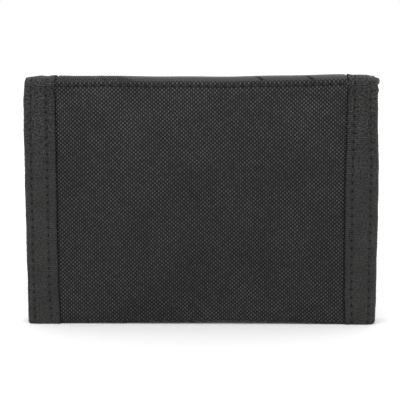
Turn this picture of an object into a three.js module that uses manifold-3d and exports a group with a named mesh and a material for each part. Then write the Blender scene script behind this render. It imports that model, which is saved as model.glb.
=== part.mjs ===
// Bifold textile wallet with its fold at the top, closed and standing on its free edges.
// Millimetres. +X runs along the fold, +Y points out of the front cover and +Z up to the fold.
// The origin is at the middle of the base. Each half is a pack of thin sheets held by a woven
// binding round its side edges, and the two halves hang from a spine that folds at two lines.
import * as THREE from "three";
import { mergeVertices } from "three/addons/utils/BufferGeometryUtils.js";
import Module from "manifold-3d";

// Driving dimensions.
const WIDTH = 130;
const HEIGHT = 92.5;
const HALF_DEPTH = 6.5; // from the plane between the halves to the face of the binding
const GAP = 0.3; // between neighbouring sheets
const CROWN = 1.6; // how far each cover swells out between the bindings
const BINDING_WIDTH = 11.3;
const FOLD_RADIUS = 3; // of the shell's middle line, at each of the spine's two folds
const ZIP_BELOW_TOP = 24;
const ZIP_SLOT = 6.4;
const SLIDER_LENGTH = 8;
const SLIDER_WIDTH = 5.6;
const PULLER_LENGTH = 20;
const CARD_POCKET_TOPS = [76, 66, 56];

// The sheets of a half, from its outer face to the plane between the halves.
function stack(thicknesses) {
  let outer = HALF_DEPTH;
  const places = {};
  for (const [name, thickness] of Object.entries(thicknesses)) {
    places[name] = { outer, inner: outer - thickness, thickness };
    outer -= thickness + GAP;
  }
  return places;
}

const FRONT = stack({
  binding: 0.6, shell: 0.7, zipTape: 0.35, sliderPlate: 0.5, coinLining: 0.3,
  interlining: 0.3, lining: 0.3, window: 0.25, bindingInside: 0.5,
});
const BACK = stack({
  binding: 0.6, shell: 0.7, interlining: 0.3, billSpace: 0.45, billWall: 0.35,
  cardPocket1: 0.3, cardPocket2: 0.3, cardPocket3: 0.3, bindingInside: 0.5,
});
const CARD_LAYERS = [BACK.cardPocket1, BACK.cardPocket2, BACK.cardPocket3];

const BINDING_INNER_EDGE = WIDTH / 2 - BINDING_WIDTH;
const SHEET_HALF_WIDTH = WIDTH / 2 - FRONT.binding.thickness - GAP;
const BETWEEN_BINDINGS = BINDING_INNER_EDGE - GAP;
const SHELL_BOTTOM = 0.4; // the bindings' cut ends stand a little lower than the cloth
const LINING_BOTTOM = 1;

// The spine is an arch: two quarter turns about these centres, with a flat stretch between.
const TURN_Y = FRONT.shell.outer - FRONT.shell.thickness / 2 - FOLD_RADIUS;
const TURN_Z = HEIGHT - (HALF_DEPTH - TURN_Y);
const HALF_TOP = TURN_Z - GAP;
const LINING_TOP = 85.5;

const ZIP_Z = HEIGHT - ZIP_BELOW_TOP;
const COIL_GAP = 1; // leaves the slider's post room between the two coils
const COIL = { outer: 6.1, inner: FRONT.zipTape.outer + GAP, width: 1.5 };
const SLIDER_TOP = { inner: COIL.outer + GAP, outer: COIL.outer + GAP + 0.5 };
const BRIDGE = { outer: 8.9, tunnel: 8.2, halfLength: 3, wall: 0.8, width: 1.4 };
const PULLER = { axis: 7.55, thickness: 0.8, arm: 0.8, plateStart: 3.6, halfWidth: 2.4 };
const STOP = { length: 1.5, thickness: 0.4, x: 49.75 };
const SLIDER_AT_REST = -44;

const FULL_FRONT = BRIDGE.outer;
const FULL_BACK = BACK.shell.outer + CROWN;

const look = (color, roughness, metalness = 0) =>
  new THREE.MeshStandardMaterial({ color, roughness, metalness });
const MATERIALS = {
  shell: look(0x343434, 0.85),
  binding: look(0x3b3b3a, 0.8),
  lining: look(0x2c2c2d, 0.9),
  interlining: look(0x8d8d88, 0.7),
  film: look(0xc8ccce, 0.2),
  hook: look(0x262626, 0.75),
  coil: look(0x232323, 0.45),
  metal: look(0x5c5d60, 0.35, 1),
};

function part(name, geometry, material) {
  const mesh = new THREE.Mesh(geometry, material);
  mesh.name = name;
  return mesh;
}

const wasm = await Module();
wasm.setup();

function solidOf(geometry) {
  const bare = geometry.clone();
  bare.deleteAttribute("normal");
  bare.deleteAttribute("uv");
  const merged = mergeVertices(bare, 1e-4);
  return new wasm.Manifold(new wasm.Mesh({
    numProp: 3,
    vertProperties: new Float32Array(merged.attributes.position.array),
    triVerts: new Uint32Array(merged.index.array),
  }));
}

// One body made of closed geometries that run into each other.
function join(...geometries) {
  const whole = geometries.map(solidOf).reduce((sum, next) => sum.add(next)).getMesh();
  const geometry = new THREE.BufferGeometry();
  geometry.setAttribute("position", new THREE.BufferAttribute(whole.vertProperties, 3));
  geometry.setIndex(new THREE.BufferAttribute(whole.triVerts, 1));
  geometry.computeVertexNormals();
  return geometry;
}

// A flat rectangular sheet in one layer of a half, whose outer side faces +Y.
function plate({ outer, inner }, halfWidth, zLow, zHigh, x = 0) {
  const geometry = new THREE.BoxGeometry(2 * halfWidth, outer - inner, zHigh - zLow);
  return geometry.translate(x, (outer + inner) / 2, (zLow + zHigh) / 2);
}

// A sheet cut to an outline drawn in X and Z.
function cutSheet(outline, { outer, inner }, curveSegments = 12) {
  const options = { depth: outer - inner, bevelEnabled: false, curveSegments };
  return new THREE.ExtrudeGeometry(outline, options).rotateX(Math.PI / 2).translate(0, outer, 0);
}

// A section drawn in Y and Z, carried along X between two places.
function alongX(section, xLow, xHigh, curveSegments = 6) {
  const options = { depth: xHigh - xLow, bevelEnabled: false, curveSegments };
  const turn = new THREE.Matrix4().makeBasis(
    new THREE.Vector3(0, 1, 0), new THREE.Vector3(0, 0, 1), new THREE.Vector3(1, 0, 0),
  );
  return new THREE.ExtrudeGeometry(section, options).applyMatrix4(turn).translate(xLow, 0, 0);
}

// 0 at the start, 1 from the start plus the ramp onwards, with a smooth rise between.
function rise(distance, ramp) {
  const t = THREE.MathUtils.clamp(distance / ramp, 0, 1);
  return t * t * (3 - 2 * t);
}

// A cover that swells out between the bindings and lies flat again at its ends.
function crownedPlate({ outer, inner }, zLow, zHigh) {
  const RAMP = 13;
  const across = 2 * SHEET_HALF_WIDTH, up = zHigh - zLow;
  const geometry = new THREE.BoxGeometry(across, outer - inner, up, 20, 1, 12);
  geometry.translate(0, (outer + inner) / 2, (zLow + zHigh) / 2);
  const points = geometry.getAttribute("position");
  for (let i = 0; i < points.count; i++) {
    const fromSide = BETWEEN_BINDINGS - Math.abs(points.getX(i));
    const fromEnd = Math.min(points.getZ(i) - zLow, zHigh - points.getZ(i));
    points.setY(i, points.getY(i) + CROWN * rise(fromSide, RAMP) * rise(fromEnd, RAMP));
  }
  return geometry;
}

// A folded ribbon round the side edge of a half: two legs and a web, with a rounded fold.
function halfBinding() {
  const out = FRONT.binding, edge = WIDTH / 2, round = 0.9;
  const low = FRONT.bindingInside.inner;
  const section = new THREE.Shape()
    .moveTo(BINDING_INNER_EDGE, low)
    .lineTo(edge - round, low)
    .absarc(edge - round, low + round, round, -Math.PI / 2, 0)
    .absarc(edge - round, out.outer - round, round, 0, Math.PI / 2)
    .lineTo(BINDING_INNER_EDGE, out.outer)
    .lineTo(BINDING_INNER_EDGE, out.inner)
    .lineTo(edge - out.thickness, out.inner)
    .lineTo(edge - out.thickness, FRONT.bindingInside.outer)
    .lineTo(BINDING_INNER_EDGE, FRONT.bindingInside.outer);
  const options = { depth: HALF_TOP, bevelEnabled: false, curveSegments: 3 };
  return new THREE.ExtrudeGeometry(section, options);
}

// The arch of one layer of the spine, drawn in Y and Z, from its outer face to its inner face.
function archSection(outer, inner) {
  const over = outer - TURN_Y, under = inner - TURN_Y;
  return new THREE.Shape()
    .absarc(TURN_Y, TURN_Z, over, 0, Math.PI / 2)
    .absarc(-TURN_Y, TURN_Z, over, Math.PI / 2, Math.PI)
    .absarc(-TURN_Y, TURN_Z, under, Math.PI, Math.PI / 2, true)
    .absarc(TURN_Y, TURN_Z, under, Math.PI / 2, 0, true);
}

const SPINE_LINING = { outer: FRONT.shell.inner - GAP, inner: FRONT.shell.inner - 2 * GAP };
const SPINE_BINDING_INSIDE = { outer: SPINE_LINING.inner - GAP, inner: SPINE_LINING.inner - 0.8 };

function spineSheet({ outer, inner }) {
  return alongX(archSection(outer, inner), -SHEET_HALF_WIDTH, SHEET_HALF_WIDTH);
}

function spineBinding() {
  const edge = WIDTH / 2, web = edge - FRONT.binding.thickness;
  const overOut = archSection(FRONT.binding.outer, FRONT.binding.inner);
  const underIn = archSection(SPINE_BINDING_INSIDE.outer, SPINE_BINDING_INSIDE.inner);
  const whole = archSection(FRONT.binding.outer, SPINE_BINDING_INSIDE.inner);
  return join(
    alongX(overOut, BINDING_INNER_EDGE, edge),
    alongX(underIn, BINDING_INNER_EDGE, edge),
    alongX(whole, web, edge),
  );
}

// The clear identity window, with a thumb notch in its open upper edge.
function windowFilm() {
  const low = 28, high = 80, notch = 9;
  const outline = new THREE.Shape()
    .moveTo(-SHEET_HALF_WIDTH, low)
    .lineTo(SHEET_HALF_WIDTH, low)
    .lineTo(SHEET_HALF_WIDTH, high)
    .lineTo(notch, high)
    .absarc(0, high, notch, 0, Math.PI, true)
    .lineTo(-SHEET_HALF_WIDTH, high);
  return cutSheet(outline, FRONT.window);
}

// Two plates joined by a post that runs between the coils, and a bridge over a tunnel.
function sliderBody() {
  const half = SLIDER_WIDTH / 2, post = COIL_GAP / 2 - GAP;
  const { sliderPlate } = FRONT;
  const beam = new THREE.Shape([
    [sliderPlate.inner, -half], [sliderPlate.outer, -half], [sliderPlate.outer, -post],
    [SLIDER_TOP.inner, -post], [SLIDER_TOP.inner, -half], [SLIDER_TOP.outer, -half],
    [SLIDER_TOP.outer, half], [SLIDER_TOP.inner, half], [SLIDER_TOP.inner, post],
    [sliderPlate.outer, post], [sliderPlate.outer, half], [sliderPlate.inner, half],
  ].map(([y, z]) => new THREE.Vector2(y, z)));
  const { outer, tunnel, halfLength, wall, width } = BRIDGE;
  const foot = SLIDER_TOP.outer - 0.1, mouth = halfLength - wall;
  const arch = new THREE.Shape([
    [-halfLength, foot], [-mouth, foot], [-mouth, tunnel], [mouth, tunnel], [mouth, foot],
    [halfLength, foot], [halfLength, outer - wall], [mouth, outer], [-mouth, outer],
    [-halfLength, outer - wall],
  ].map(([x, y]) => new THREE.Vector2(x, y)));
  const bridge = new THREE.ExtrudeGeometry(arch, { depth: width, bevelEnabled: false });
  return join(
    alongX(beam, -SLIDER_LENGTH / 2, SLIDER_LENGTH / 2),
    bridge.translate(0, 0, -width / 2),
  );
}

// A flat tab whose open end is a loop: its cross bar lies in the tunnel of the bridge.
function pullerTab() {
  const { axis, thickness, arm, plateStart, halfWidth } = PULLER;
  const loop = BRIDGE.width / 2 + GAP, shoulder = loop + arm, bar = thickness / 2;
  const end = PULLER_LENGTH - bar - halfWidth;
  const outline = new THREE.Shape()
    .moveTo(-bar, -shoulder)
    .lineTo(plateStart - arm, -shoulder)
    .lineTo(plateStart + arm, -halfWidth)
    .lineTo(end, -halfWidth)
    .absarc(end, 0, halfWidth, -Math.PI / 2, Math.PI / 2)
    .lineTo(plateStart + arm, halfWidth)
    .lineTo(plateStart - arm, shoulder)
    .lineTo(-bar, shoulder);
  outline.holes.push(
    new THREE.Path([[bar, -loop], [bar, loop], [plateStart, loop], [plateStart, -loop]]
      .map(([x, z]) => new THREE.Vector2(x, z))),
    new THREE.Path().absarc(end, 0, halfWidth - 1.3, 0, 2 * Math.PI, true),
  );
  const layer = { outer: axis + thickness / 2, inner: axis - thickness / 2 };
  return cutSheet(outline, layer, 6);
}

function addBindings(half, name) {
  for (const [side, sign] of [["left", -1], ["right", 1]]) {
    const binding = part(`${side}_${name}_binding`, halfBinding(), MATERIALS.binding);
    binding.scale.x = sign;
    half.add(binding);
  }
}

function zip() {
  const group = new THREE.Group();
  group.position.z = ZIP_Z;
  const { zipTape } = FRONT, edge = COIL_GAP / 2, tapeHeight = 11, coilEnd = BETWEEN_BINDINGS;
  for (const [side, sign] of [["upper", 1], ["lower", -1]]) {
    const tape = plate(zipTape, SHEET_HALF_WIDTH, edge, tapeHeight);
    const coil = plate(COIL, coilEnd, edge, edge + COIL.width);
    const topStop = plate(
      { outer: SLIDER_TOP.inner + STOP.thickness, inner: SLIDER_TOP.inner },
      STOP.length / 2, edge, edge + COIL.width, -STOP.x,
    );
    const pieces = [
      part(`zip_tape_${side}`, tape, MATERIALS.lining),
      part(`zip_coil_${side}`, coil, MATERIALS.coil),
      part(`zip_top_stop_${side}`, topStop, MATERIALS.metal),
    ];
    for (const piece of pieces) piece.scale.z = sign;
    group.add(...pieces);
  }
  const reach = edge + COIL.width;
  const bottomStop = plate(
    { outer: SLIDER_TOP.inner + STOP.thickness, inner: SLIDER_TOP.inner },
    STOP.length / 2, -reach, reach, STOP.x,
  );
  const slider = new THREE.Group();
  slider.position.x = SLIDER_AT_REST;
  slider.add(
    part("zip_slider", sliderBody(), MATERIALS.metal),
    part("zip_puller", pullerTab(), MATERIALS.metal),
  );
  group.add(part("zip_bottom_stop", bottomStop, MATERIALS.metal), slider);
  return group;
}

function frontHalf() {
  const half = new THREE.Group(), wide = SHEET_HALF_WIDTH;
  const { shell, coinLining, interlining, lining, window, bindingInside } = FRONT;
  const slot = ZIP_SLOT / 2, coinBottom = 14;
  addBindings(half, "front");
  const hook = { outer: lining.inner - GAP, inner: GAP / 2 };
  half.add(
    part("front_panel_upper", plate(shell, wide, ZIP_Z + slot, HALF_TOP), MATERIALS.shell),
    part("front_panel_lower", crownedPlate(shell, SHELL_BOTTOM, ZIP_Z - slot), MATERIALS.shell),
    zip(),
    part("coin_pocket_lining", plate(coinLining, wide, coinBottom, LINING_TOP), MATERIALS.lining),
    part("front_interlining", plate(interlining, wide, LINING_BOTTOM, LINING_TOP),
      MATERIALS.interlining),
    part("front_lining", plate(lining, wide, LINING_BOTTOM, HALF_TOP), MATERIALS.lining),
    part("id_window", windowFilm(), MATERIALS.film),
    part("id_window_tape", plate({ outer: window.inner - GAP, inner: bindingInside.inner },
      BETWEEN_BINDINGS, 26, 31), MATERIALS.binding),
    part("hook_strip", plate(hook, 30, 3, 23), MATERIALS.hook),
  );
  return half;
}

function backHalf() {
  const half = new THREE.Group(), wide = SHEET_HALF_WIDTH;
  const { shell, interlining, billWall, cardPocket3 } = BACK;
  half.scale.y = -1;
  addBindings(half, "back");
  const loop = { outer: cardPocket3.inner - GAP, inner: GAP / 2 };
  half.add(
    part("back_panel", crownedPlate(shell, SHELL_BOTTOM, HALF_TOP), MATERIALS.shell),
    part("back_interlining", crownedPlate(interlining, LINING_BOTTOM, HALF_TOP - 0.6),
      MATERIALS.interlining),
    part("bill_pocket_wall", plate(billWall, wide, LINING_BOTTOM, LINING_TOP), MATERIALS.lining),
    part("loop_strip", plate(loop, 30, 3, 23), MATERIALS.hook),
  );
  CARD_LAYERS.forEach((layer, i) => half.add(part(
    `card_pocket_${i + 1}`, plate(layer, wide, LINING_BOTTOM, CARD_POCKET_TOPS[i]),
    MATERIALS.lining,
  )));
  return half;
}

function spine() {
  const group = new THREE.Group();
  group.add(
    part("spine_panel", spineSheet(FRONT.shell), MATERIALS.shell),
    part("spine_lining", spineSheet(SPINE_LINING), MATERIALS.lining),
  );
  for (const [side, sign] of [["left", -1], ["right", 1]]) {
    const binding = part(`${side}_spine_binding`, spineBinding(), MATERIALS.binding);
    binding.scale.x = sign;
    group.add(binding);
  }
  return group;
}

const wallet = new THREE.Group();
wallet.position.y = (FULL_BACK - FULL_FRONT) / 2;
wallet.add(frontHalf(), spine(), backHalf());

export default wallet;
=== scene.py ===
import math

import bpy
import numpy as np
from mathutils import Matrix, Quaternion, Vector


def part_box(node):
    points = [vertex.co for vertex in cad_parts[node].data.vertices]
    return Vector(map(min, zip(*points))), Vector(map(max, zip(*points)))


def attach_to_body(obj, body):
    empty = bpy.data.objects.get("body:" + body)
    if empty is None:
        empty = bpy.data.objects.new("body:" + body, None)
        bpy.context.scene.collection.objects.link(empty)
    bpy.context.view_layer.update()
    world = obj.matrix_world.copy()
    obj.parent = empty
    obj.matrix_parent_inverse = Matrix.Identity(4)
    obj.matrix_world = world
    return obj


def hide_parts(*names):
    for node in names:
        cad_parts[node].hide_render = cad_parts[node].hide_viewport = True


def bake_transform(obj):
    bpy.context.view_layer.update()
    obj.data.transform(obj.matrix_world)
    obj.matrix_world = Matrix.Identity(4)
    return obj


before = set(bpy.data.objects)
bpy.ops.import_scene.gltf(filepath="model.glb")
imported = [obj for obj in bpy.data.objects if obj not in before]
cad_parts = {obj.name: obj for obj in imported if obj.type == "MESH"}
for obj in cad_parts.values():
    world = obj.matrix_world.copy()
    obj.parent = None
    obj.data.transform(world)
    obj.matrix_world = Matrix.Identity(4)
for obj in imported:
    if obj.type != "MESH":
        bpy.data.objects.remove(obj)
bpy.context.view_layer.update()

# A bifold wallet of coarse woven cloth, bound at its sides with ribbon, closed and fold upwards.
# Shapes are worked out in millimetres. A half's own coordinates are x, m and z: m is the distance
# outwards from the plane between the halves, so the same sheet can be made for either half.
MM = 0.001
FRONT, BACK = 1, -1  # which way m points along Y


def corners(node):
    low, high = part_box(node)
    return np.array(low) / MM, np.array(high) / MM


# Places that come from the CAD model.
Y_MID = (corners("hook_strip")[0][1] + corners("loop_strip")[1][1]) / 2
RIBBON_LOW, RIBBON_HIGH = corners("right_back_binding")
EDGE = RIBBON_HIGH[0]
RIBBON_INNER = RIBBON_LOW[0]
RIBBON_WIDTH = EDGE - RIBBON_INNER
RIBBON_FACE = Y_MID - RIBBON_LOW[1] - 0.05  # m of the ribbons' outer face
ARCH_LOW, ARCH_HIGH = corners("spine_panel")
SHEET_HALF = ARCH_HIGH[0]
TURN_Z = ARCH_LOW[2]
TURN_M = ARCH_HIGH[1] - Y_MID - (ARCH_HIGH[2] - TURN_Z)
SHELL_BOTTOM = corners("back_panel")[0][2]
ZIP_LOW = corners("front_panel_lower")[1][2]
ZIP_HIGH = corners("front_panel_upper")[0][2]
ZIP_Z = (ZIP_LOW + ZIP_HIGH) / 2
CROWN = Y_MID - corners("back_panel")[0][1] - (RIBBON_FACE - 0.85)  # the most a cover swells

# Cloth.
WARP = 0.77  # width of one yarn of the coarse weave
WEFT = 0.72
RELIEF = 0.15  # how far the top of a yarn stands above the gaps between yarns
CLOTH = 0.35  # thickness of the coarse cloth
COVER_FACE = RIBBON_FACE - 0.45  # m of the covers' outer face, beside the ribbons
FOLD_RADIUS = COVER_FACE - TURN_M
FINE_HALF = 55.5  # the yarns are modelled this far out, to just under the ribbons
TURN_ROUND = 0.3  # radius of a turned-under edge
HEM_ANGLE = 33  # where the back panel's hem ends on the fold, above the horizontal
HEM_STITCH = 1.9  # from the hem's edge to its stitch row
HEM_LIFT = 0.6  # how far the hem stands off the spine's cloth
FOLD_LIFT = 0.42  # how far the cloth over the fold stands up between the ribbons
DRAWN_DOWN = 0.35  # how far the covers are drawn in at the middle of the top edge
DRAWN_UP = 0.95  # and of the bottom edge
STITCH = 3.06  # from one needle hole to the next on the ribbons
HEM_PITCH = 3.2  # and on the shell
THREAD = 0.17  # the thread's radius
RIB = 0.74  # width of one rib of the ribbon
LINING_YARN = 0.28  # width of one yarn of the lining


# ---- helpers

def smooth(t):
    t = np.clip(t, 0, 1)
    return t * t * (3 - 2 * t)


def arc(centre, radius, start, end, steps=24):
    """Points of a circular arc in m and z; the angles are in degrees, from +m towards +z."""
    a = np.radians(np.linspace(start, end, steps))
    return np.column_stack([centre[0] + radius * np.cos(a), centre[1] + radius * np.sin(a)])


def chain(*strokes):
    """One path through points and arcs, with doubled points left out."""
    points = np.vstack([np.atleast_2d(np.array(s, float)) for s in strokes])
    step = np.linalg.norm(np.diff(points, axis=0), axis=1)
    return points[np.r_[True, step > 1e-6]]


def run_along(path):
    """Each point's distance along a path from its first point."""
    return np.r_[0, np.cumsum(np.linalg.norm(np.diff(path, axis=0), axis=1))]


def taken_at(places, known, values):
    """Rows of values that are known at some places, worked out at others."""
    return np.column_stack([np.interp(places, known, column) for column in values.T])


def resample(path, step):
    """Evenly spaced points of a path, with their distances from its last point."""
    run = run_along(path)
    at = np.arange(run[-1], 0, -step)[::-1]
    return taken_at(at, run, path), run[-1] - at


def grid_faces(rows, columns, flip=False):
    i = np.arange(rows * columns).reshape(rows, columns)
    quads = np.stack([i[:-1, :-1], i[:-1, 1:], i[1:, 1:], i[1:, :-1]], -1).reshape(-1, 4)
    return quads[:, ::-1] if flip else quads


def grid_normals(points, side):
    """Outward normals of a grid whose rows rise and whose columns run along +X."""
    normal = np.cross(np.gradient(points, axis=1), np.gradient(points, axis=0))
    return -side * normal / np.linalg.norm(normal, axis=-1, keepdims=True)


def combine(parts):
    """Joins (points, faces) pairs into one pair."""
    points, faces, count = [], [], 0
    for p, f in parts:
        points.append(np.reshape(p, (-1, 3)))
        f = f.tolist() if isinstance(f, np.ndarray) else f
        faces += [[i + count for i in face] for face in f]
        count += len(points[-1])
    return np.vstack(points), faces


def ring_faces(rings, sides):
    """The faces of a closed tube of rings, with a cap at each end."""
    faces = [[k * sides + i, k * sides + (i + 1) % sides, (k + 1) * sides + (i + 1) % sides,
              (k + 1) * sides + i] for k in range(rings - 1) for i in range(sides)]
    return faces + [list(range(sides))[::-1], list(range((rings - 1) * sides, rings * sides))]


def path_length(path):
    return np.sum(np.linalg.norm(np.diff(path, axis=0), axis=1))


def build(name, shape, material, weave=None, holes_and_painted_shade=None):
    """An object from points in millimetres and faces, smooth shaded."""
    points, faces = shape
    points = np.reshape(points, (-1, 3))
    mesh = bpy.data.meshes.new(name)
    faces = faces.tolist() if isinstance(faces, np.ndarray) else faces
    mesh.from_pydata((points * MM).tolist(), [], faces)
    for label, kind, field, values in (("weave", "FLOAT_VECTOR", "vector", weave),
                                       ("holes_and_painted_shade", "FLOAT", "value", holes_and_painted_shade)):
        if values is not None:
            attribute = mesh.attributes.new(label, kind, "POINT")
            attribute.data.foreach_set(field, np.asarray(values, np.float32).ravel())
    mesh.polygons.foreach_set("use_smooth", [True] * len(mesh.polygons))
    mesh.materials.append(material)
    obj = bpy.data.objects.new(name, mesh)
    bpy.context.scene.collection.objects.link(obj)
    return obj


def thicken(obj, thickness, offset=-1.0):
    modifier = obj.modifiers.new("thickness", "SOLIDIFY")
    modifier.thickness = thickness * MM
    modifier.offset = offset
    return obj


# How far the hand-sewn ribbons' edges stray outwards, in millimetres, at shares of the height.
STRAY_AT = (0, 0.15, 0.35, 0.55, 0.75, 1)
INNER_STRAY = {"left": (-1.25, -0.65, -0.5, -0.65, -0.62, -0.52),
               "right": (0.26, -0.05, -0.2, -0.2, 0.3, 0.63)}
OUTER_STRAY = {"left": (-0.3, -0.1, 0.1, 0.15, 0, 0), "right": (0.2, 0.5, 0.75, 0.85, 0.8, 0.2)}


def stray(table, side_name, z):
    return np.interp(z / TURN_Z, STRAY_AT, table[side_name])


def inner_edge(x, z):
    """How far out the ribbon's inner edge is, on the side that x is on."""
    return RIBBON_INNER + np.where(x < 0, stray(INNER_STRAY, "left", z),
                                   stray(INNER_STRAY, "right", z))


def settle(points):
    """The covers are drawn in a little at the middle of their top and bottom edges."""
    x, z = points[..., 0], points[..., 2]
    share = 2 * z / TURN_Z - 1
    skew = np.where(share > 0, 12 * share, 0) * (1 - np.clip(x / RIBBON_INNER, -1, 1) ** 2)
    middle = 1 - np.clip(np.abs(x + skew) / RIBBON_INNER, 0, 1) ** 2
    points[..., 2] -= middle * share * np.where(share > 0, DRAWN_DOWN, DRAWN_UP)
    return points


def wander(points):
    """No yarn of the coarse cloth is perfectly straight."""
    x, z = points[..., 0].copy(), points[..., 2].copy()
    points[..., 0] += 0.10 * np.sin(z / 7.3 + x / 19.0) + 0.06 * np.sin(z / 2.9 - x / 11.0)
    points[..., 2] += 0.16 * np.sin(x / 13.7 + z / 23.0) + 0.07 * np.sin(x / 4.3 - z / 9.0)
    return points


def across_fold(obj):
    """The halves fold at two lines; here cloth that crosses one of them only has its placement baked
    into its mesh, and is not bent round it.
    """
    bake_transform(obj)


def attach(obj, body, slot, *replaced):
    """Makes a piece move with its body, or only bakes its placement in if body is FRONT or BACK,
    and hides the CAD nodes that it replaces; slot is not used."""
    if body in (FRONT, BACK):
        across_fold(obj)
    else:
        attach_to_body(obj, body)
    if replaced:
        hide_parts(*replaced)


# ---- materials

# The warp is much paler than the weft: partly the yarns' own tones, partly a painted highlight on
# the raised warp floats.
WARP_COLOUR = (0.0475, 0.047, 0.0468)
WEFT_COLOUR = (0.0055, 0.0055, 0.0057)
PRINT_COLOUR = (0.044, 0.0395, 0.038)
RIBBON_COLOUR = (0.0215, 0.0210, 0.0205)
RIBBON_EDGE_COLOUR = (0.028, 0.0262, 0.0238)


class Look:
    """Builds one material's nodes. Every input may be a number or another node's output."""

    def __init__(self, name, **settings):
        self.material = bpy.data.materials.new(name)
        self.material.use_nodes = True
        self.tree = self.material.node_tree
        self.shader = self.tree.nodes["Principled BSDF"]
        for key, value in settings.items():
            self.feed(self.shader.inputs[key.replace("_", " ")], value)

    def feed(self, socket, value):
        if isinstance(value, bpy.types.NodeSocket):
            self.tree.links.new(value, socket)
        elif isinstance(value, tuple) and socket.type == "RGBA":
            socket.default_value = (*value, 1)
        else:
            socket.default_value = value

    def node(self, kind, inputs=(), output=0, **settings):
        node = self.tree.nodes.new("ShaderNode" + kind)
        for key, value in settings.items():
            setattr(node, key, value)
        for key, value in dict(inputs).items():
            self.feed(node.inputs[key], value)
        return node.outputs[output]

    def math(self, operation, *values):
        return self.node("Math", enumerate(values), operation=operation)

    def mul(self, a, b):
        return self.math("MULTIPLY", a, b)

    def add(self, a, b):
        return self.math("ADD", a, b)

    def sub(self, a, b):
        return self.math("SUBTRACT", a, b)

    def span(self, value, low, high, to_low=0.0, to_high=1.0):
        inputs = {0: value, 1: low, 2: high, 3: to_low, 4: to_high}
        return self.node("MapRange", inputs, interpolation_type="SMOOTHSTEP")

    def spread(self, noise, low, high):
        """Noise lies mostly between 0.3 and 0.7; this spreads it from low to high."""
        return self.span(noise, 0.3, 0.7, low, high)

    def colour(self, factor, a, b):
        inputs = {"Factor": factor, 6: a, 7: b}
        return self.node("Mix", inputs, output=2, data_type="RGBA")

    def times(self, colour, factor):
        grey = self.node("CombineColor", {0: factor, 1: factor, 2: factor})
        inputs = {"Factor": 1.0, 6: colour, 7: grey}
        return self.node("Mix", inputs, output=2, data_type="RGBA", blend_type="MULTIPLY")

    def noise(self, vector, scale, detail=2.0):
        inputs = {"Vector": vector, "Scale": scale, "Detail": detail}
        return self.node("TexNoise", inputs)

    def place(self):
        """The point's own place in metres."""
        return self.node("TexCoord", output=3)

    def stretched(self, x, y, z):
        return self.node("Mapping", {"Vector": self.place(), "Scale": (x, y, z)})

    def attribute(self, name):
        """The mesh's stored coordinates, as three outputs, or one value."""
        output = 1 if name == "weave" else 2
        socket = self.node("Attribute", output=output, attribute_name=name)
        if name != "weave":
            return socket
        split = self.node("SeparateXYZ", {0: socket}).node
        return split.outputs[0], split.outputs[1], split.outputs[2]

    def darken_holes_and_shade(self, colour, darkest):
        """The colour, darker at needle holes and where shade is painted along edges and stitch rows.
        """
        return self.times(colour, self.span(self.attribute("holes_and_painted_shade"), 0.0, 1.0, 1.0, darkest))

    def finish(self, colour, roughness, height=None, depth=0.0, strength=1.0):
        """Connects the colour and roughness, and a bump as deep as depth millimetres."""
        self.feed(self.shader.inputs["Base Color"], colour)
        self.feed(self.shader.inputs["Roughness"], roughness)
        if height is not None:
            inputs = {"Height": height, "Distance": depth * MM, "Strength": strength}
            self.feed(self.shader.inputs["Normal"], self.node("Bump", inputs))
        return self.material


def plain_weave(look, u, v, fill=0.92):
    """Yarns that pass over and under each other, for yarn coordinates u and v: whether the warp is
    on top, and the height of the upper yarn from 0 to 1."""
    heights = []
    for here, other, sign in ((u, v, -1.0), (v, u, 1.0)):
        turn = look.mul(look.sub(other, 0.5), math.pi)
        wave = look.mul(look.math("COSINE", turn), sign)
        odd = look.mul(look.math("FRACT", look.mul(look.math("FLOOR", here), 0.5)), -4.0)
        wave = look.mul(wave, look.add(odd, 1.0))
        offset = look.sub(look.math("FRACT", here), 0.5)
        offset = look.math("ABSOLUTE", look.mul(offset, 2.0 / fill))
        inside = look.sub(1.0, look.mul(offset, offset))
        dome = look.math("SQRT", look.math("MAXIMUM", inside, 0.0))
        heights.append(look.math("MULTIPLY_ADD", wave, 0.28, look.mul(dome, 0.72)))
    warp_up = look.span(look.sub(*heights), -0.06, 0.06)
    return warp_up, look.math("MAXIMUM", *heights)


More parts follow.
